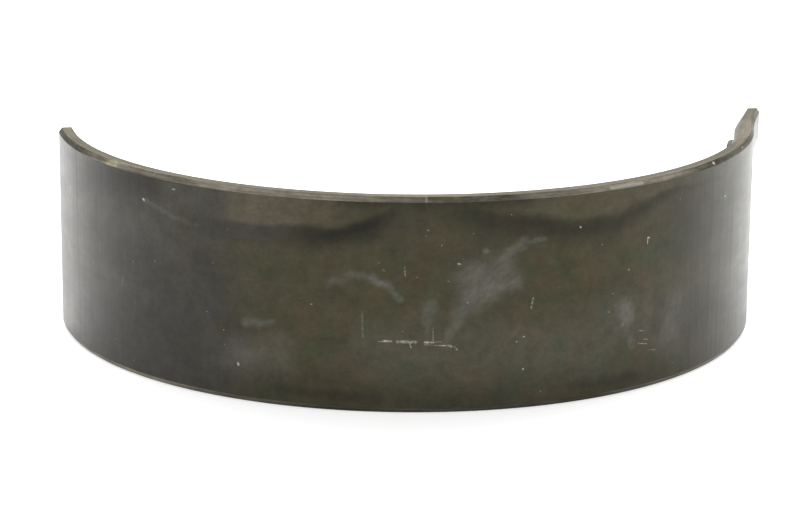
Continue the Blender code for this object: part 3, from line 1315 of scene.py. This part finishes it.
@dataclass(frozen=True)
class BroachedSteel:
    """Joint faces: steel and lining broached flat together, with lines along the journal."""

    name: str = "broached_joint_face"
    steel: str = "#7e796e"
    lining: str = "#91908a"
    tool_lines: Grain = Grain((0.3, 6.0, 0.06))
    line_shade: Span = (0.0, 1.0, 0.85, 1.1)
    line_mm: float = 0.0008
    roughness: Grain = Grain((1.0, 2.0, 0.4), 0.26, 0.38)

    def build(self) -> bpy.types.Material:
        """Build the material.

        Returns:
            The finished material.
        """
        surface = Surface(self.name)
        add = surface.add
        lined = add(RANGE, surface.depth, *LINING_ENDS, 1.0, 0.0)
        colour = add(MIX, lined, linear(self.steel), linear(self.lining), **COLOURS)
        lines = surface.pattern(self.tool_lines)
        shade = add(RANGE, lines, *self.line_shade)
        colour = add(VECTOR, colour, operation="SCALE", inputs={"Scale": shade})
        dull = surface.pattern(self.roughness)
        normal = add(BUMP, inputs={"Height": lines, "Distance": self.line_mm * MM})
        return surface.finished(Base_Color=colour, Metallic=1.0, Roughness=dull, Normal=normal)


@dataclass(frozen=True)
class BoredLining:
    """The bore: an aluminium-tin lining, fine bored.

    The tool's feed shows as close lines round the bore on a pale, even, satin grey. A dark patch
    under the tang's root is painted shade.
    """

    name: str = "bored_aluminium_tin_lining"
    metal: str = "#888781"
    polished: str = "#96958f"
    # The dark colour of the painted shade under the tang's root.
    shade_colour: str = "#1f1f1b"
    drift: Grain = Grain((9.0, 6.0, 5.0), detail=3.0)
    feed_mm: float = 0.22
    feed_height_mm: float = 0.0015
    feed_wear: Grain = Grain((12.0, 0.5, 1.0), 0.3)
    tool_lines: Grain = Grain((9.0, 0.08, 1.0))
    line_shade: Span = (0.0, 1.0, 0.94, 1.05)
    line_mm: float = 0.0006
    roughness: Grain = Grain((6.0, 1.0, 1.0), 0.28, 0.38)
    # How the painted shade under the tang's root dulls the surface and takes away its shine, and
    # where it lies.
    shade_dulls: float = 0.35
    shade_shine: Span = (0.0, 1.0, 0.5, 0.05)
    under_tang_shade: tuple[StripMark, ...] = (StripMark((34.0, 12.6), (41.0, 12.2), 1.4, 1.0),)

    def build(self) -> bpy.types.Material:
        """Build the material.

        Returns:
            The finished material.
        """
        surface = Surface(self.name)
        add, chained, pattern = surface.add, surface.chained, surface.pattern
        drift = pattern(self.drift)
        colour = add(MIX, drift, linear(self.metal), linear(self.polished), **COLOURS)
        per_mm = 2.0 * math.pi / self.feed_mm
        turns = add(MATH, surface.height, per_mm, operation="MULTIPLY")
        wave = add(MATH, turns, operation="SINE")
        wave = chained("MULTIPLY", wave, pattern(self.feed_wear))
        ridges = add(RANGE, wave, -1.0, 1.0, 0.0, 1.0)
        lines = pattern(self.tool_lines)
        shade = add(RANGE, lines, *self.line_shade)
        colour = add(VECTOR, colour, operation="SCALE", inputs={"Scale": shade})

        # Painted shade under the tang's root: a dark, dull patch that is not metal and barely shines.
        shaded = surface.marked(self.under_tang_shade, surface.wandering())
        colour = add(MIX, shaded, colour, linear(self.shade_colour), **COLOURS)
        metal = add(MATH, 1.0, shaded, operation="SUBTRACT")
        dulling = pattern(self.roughness)
        dull = chained("ADD", dulling, chained("MULTIPLY", shaded, self.shade_dulls))
        low = add(BUMP, inputs={"Height": ridges, "Distance": self.feed_height_mm * MM})
        fine = {"Height": lines, "Distance": self.line_mm * MM, "Normal": low}
        normal = add(BUMP, inputs=fine)
        shine = add(RANGE, shaded, *self.shade_shine)
        return surface.finished(
            Base_Color=colour,
            Metallic=metal,
            Roughness=dull,
            Normal=normal,
            Specular_IOR_Level=shine,
        )


@dataclass(frozen=True)
class ShearedSteel:
    """The tang's sheared sides: half burnished by the punch, half torn. Both colours are darkened
    as painted shade for the recess under the tang.
    """

    name: str = "sheared_steel"
    # Burnished and torn steel, both darkened as painted shade.
    burnished: str = "#49463e"
    torn: str = "#23211d"
    tears: Grain = Grain((0.2, 0.2, 0.12), detail=4.0)
    tear_mm: float = 0.01
    roughness: Grain = Grain((0.3, 0.3, 0.3), 0.37, 0.55)

    def build(self) -> bpy.types.Material:
        """Build the material.

        Returns:
            The finished material.
        """
        surface = Surface(self.name)
        torn = surface.pattern(self.tears)
        steel = surface.add(MIX, torn, linear(self.burnished), linear(self.torn), **COLOURS)
        dull = surface.pattern(self.roughness)
        normal = surface.add(BUMP, inputs={"Height": torn, "Distance": self.tear_mm * MM})
        return surface.finished(Base_Color=steel, Metallic=1.0, Roughness=dull, Normal=normal)


@dataclass
class BearingShell:
    """The whole part: one piece of bimetal strip, rolled, lined and pressed."""

    sizes: ShellSizes = field(default_factory=ShellSizes)
    name: str = "half_shell"
    stands_for: str = "bearing_shell"
    slot: str = "shell_steel"
    sharp_from: float = math.radians(30.0)

    def finishes(self) -> dict[Zone, bpy.types.Material]:
        """The material of each zone.

        Returns:
            The materials by zone.
        """
        kinds = {
            Zone.BACK: OiledRolledSteel(),
            Zone.RIM: CutSteel(),
            Zone.BORE: BoredLining(),
            Zone.JOINT: BroachedSteel(),
            Zone.SHEAR: ShearedSteel(),
        }
        return {zone: kind.build() for zone, kind in kinds.items()}

    def mesh(self) -> bpy.types.Mesh:
        """The shell's surface, with its faces outwards and its sheared edges sharp.

        Returns:
            The mesh.
        """
        shell = RollingPress(self.sizes).run(WallSection(self.sizes).mesh(), self.finishes())
        model = bmesh.new()
        model.from_mesh(shell)
        bmesh.ops.recalc_face_normals(model, faces=model.faces[:])
        model.to_mesh(shell)
        model.free()
        shell.shade_smooth()
        shell.set_sharp_from_angle(angle=self.sharp_from)
        return shell

    def build(self) -> bpy.types.Object:
        """Make the piece and hand it to the frame.

        Returns:
            The piece.
        """
        piece = bpy.data.objects.new(self.name, self.mesh())
        bpy.context.scene.collection.objects.link(piece)
        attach(piece, "root")
        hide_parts(self.stands_for)
        return piece


@dataclass(frozen=True)
class PhotoCamera:
    """The photograph's camera, placed about the journal's axis. Lengths are in millimetres."""

    distance: float = 213.38
    height: float = 60.65
    yaw: float = math.radians(-0.0947)
    pitch: float = math.radians(14.994)
    roll: float = math.radians(0.4955)
    shell_turn: float = math.radians(10.057)
    lens: float = 128.45
    sensor: float = 36.0

    def build(self, axis: Vector) -> bpy.types.Object:
        """Place the camera and make it the scene's.

        Args:
            axis: The foot of the journal's axis.

        Returns:
            The camera.
        """
        level = Vector((math.sin(self.yaw), math.cos(self.yaw), 0.0))
        side = Vector((math.cos(self.yaw), -math.sin(self.yaw), 0.0))
        rise = Vector((0.0, 0.0, 1.0))
        forward = level * math.cos(self.pitch) - rise * math.sin(self.pitch)
        above = rise * math.cos(self.pitch) + level * math.sin(self.pitch)
        right = side * math.cos(self.roll) + above * math.sin(self.roll)
        up = above * math.cos(self.roll) - side * math.sin(self.roll)
        turn = Matrix.Rotation(-self.shell_turn, 3, "Z")
        facing = turn @ Matrix((right, up, -forward)).transposed()
        place = turn @ Vector((0.0, -self.distance, self.height)) * MM + axis
        lens = bpy.data.cameras.new("photo_camera")
        lens.lens = self.lens
        lens.sensor_width = self.sensor
        camera = bpy.data.objects.new("photo_camera", lens)
        camera.matrix_world = Matrix.Translation(place) @ facing.to_4x4()
        bpy.context.scene.collection.objects.link(camera)
        bpy.context.scene.camera = camera
        return camera


@dataclass(frozen=True)
class SoftLamp:
    """A soft box over the table. Lengths are in metres.

    Azimuth and reach give its place round the shell, from the camera's side. It shines straight
    down.
    """

    name: str
    azimuth: float
    reach: float
    height: float
    side: float
    power: float

    def build(self, target: Vector, facing: float) -> bpy.types.Object:
        """Place the lamp.

        Args:
            target: The middle of the shell.
            facing: Direction of the camera's side round the shell.

        Returns:
            The lamp.
        """
        light = bpy.data.lights.new(self.name, "AREA")
        light.size = self.side
        light.energy = self.power
        lamp = bpy.data.objects.new(self.name, light)
        round_by = math.radians(self.azimuth) + facing
        out = Vector((math.sin(round_by), -math.cos(round_by), 0.0)) * self.reach
        lamp.location = target + out + Vector((0.0, 0.0, self.height))
        lamp.visible_camera = False
        bpy.context.scene.collection.objects.link(lamp)
        return lamp


@dataclass(frozen=True)
class Studio:
    """A white paper table in an even white room, with soft boxes. Lengths are in metres.

    Camera, glossy and transmission rays see a part of the paper's own shading, and a glow that
    brings it to the room's white. The part that is left keeps the shell's shadow.
    """

    table_side: float = 2.4
    paper: str = "#e6e6e6"
    paper_part: float = 0.82
    paper_glow: float = 0.5
    fibres_per_metre: float = 900.0
    fibre_mm: float = 0.01
    fibre_strength: float = 0.3
    room: float = 1.0
    lamps: tuple[SoftLamp, ...] = (
        SoftLamp("left_box", -145.0, 0.14, 0.12, 0.16, 0.3),
        SoftLamp("right_box", 145.0, 0.14, 0.12, 0.16, 0.34),
    )

    def world(self) -> bpy.types.World:
        """The white room, which every ray sees alike.

        Returns:
            The world.
        """
        world = bpy.data.worlds.new("white_room")
        world.use_nodes = True
        tree = world.node_tree
        tree.nodes.clear()
        light = add_node(tree, "ShaderNodeBackground", WHITE, self.room)
        add_node(tree, "ShaderNodeOutputWorld", light)
        bpy.context.scene.world = world
        return world

    def paper_finish(self) -> bpy.types.Material:
        """Matt white paper, whose fine fibres break up what light it throws back.

        Returns:
            The material.
        """
        material = bpy.data.materials.new("matt_white_paper")
        material.use_nodes = True
        tree = material.node_tree
        tree.nodes.clear()
        path = add_node(tree, "ShaderNodeLightPath").outputs
        seen = add_node(tree, MATH, path["Is Camera Ray"], path["Is Glossy Ray"], operation="MAXIMUM")
        seen = add_node(tree, MATH, seen, path["Is Transmission Ray"], operation="MAXIMUM")
        place = add_node(tree, "ShaderNodeTexCoord").outputs["Object"]
        inputs = {"Vector": place, "Scale": self.fibres_per_metre, "Detail": 2.0}
        fibres = add_node(tree, "ShaderNodeTexNoise", inputs=inputs)
        inputs = {"Height": fibres, "Distance": self.fibre_mm * MM, "Strength": self.fibre_strength}
        bump = add_node(tree, BUMP, inputs=inputs)
        part = add_node(tree, RANGE, seen, 0.0, 1.0, 1.0, self.paper_part)
        inputs = {"Scale": part}
        white = add_node(tree, VECTOR, linear(self.paper)[:3], operation="SCALE", inputs=inputs)
        matt = add_node(tree, "ShaderNodeBsdfDiffuse", inputs={"Color": white, "Normal": bump})
        glow = add_node(tree, RANGE, seen, 0.0, 1.0, 0.0, self.paper_glow)
        glow = add_node(tree, "ShaderNodeEmission", WHITE, glow)
        both = add_node(tree, "ShaderNodeAddShader", matt, glow)
        add_node(tree, "ShaderNodeOutputMaterial", both)
        return material

    def table(self) -> bpy.types.Object:
        """The flat sheet of paper under the shell.

        Returns:
            The table, staged.
        """
        half = self.table_side / 2.0
        corners = [(-half, -half, 0.0), (half, -half, 0.0), (half, half, 0.0), (-half, half, 0.0)]
        mesh = bpy.data.meshes.new("paper_table")
        mesh.from_pydata(corners, [], [(0, 1, 2, 3)])
        mesh.materials.append(self.paper_finish())
        table = bpy.data.objects.new("paper_table", mesh)
        bpy.context.scene.collection.objects.link(table)
        return table

    def build(self, target: Vector, facing: float) -> None:
        """Set up the room, the table and the lamps.

        Args:
            target: The middle of the shell.
            facing: Direction of the camera's side round the shell.
        """
        self.world()
        self.table()
        for lamp in self.lamps:
            lamp.build(target, facing)
        bpy.context.scene.view_settings.view_transform = "Standard"


def main() -> None:
    """Build the shell, the studio and the camera, and log the shell's faces and the lamps."""
    logging.basicConfig(level=logging.INFO, format="%(name)s: %(message)s")
    shell = BearingShell()
    camera = PhotoCamera()
    camera.build(Vector(shell.sizes.journal_axis) * MM)
    piece = shell.build()
    log.info("%s: %d faces for %s", piece.name, len(piece.data.polygons), shell.stands_for)
    low, high = solid_box
    studio = Studio()
    studio.build((low + high) / 2.0, -camera.shell_turn)
    log.info("studio: table, room and %d lamps", len(studio.lamps))


if __name__ == "__main__":
    main()
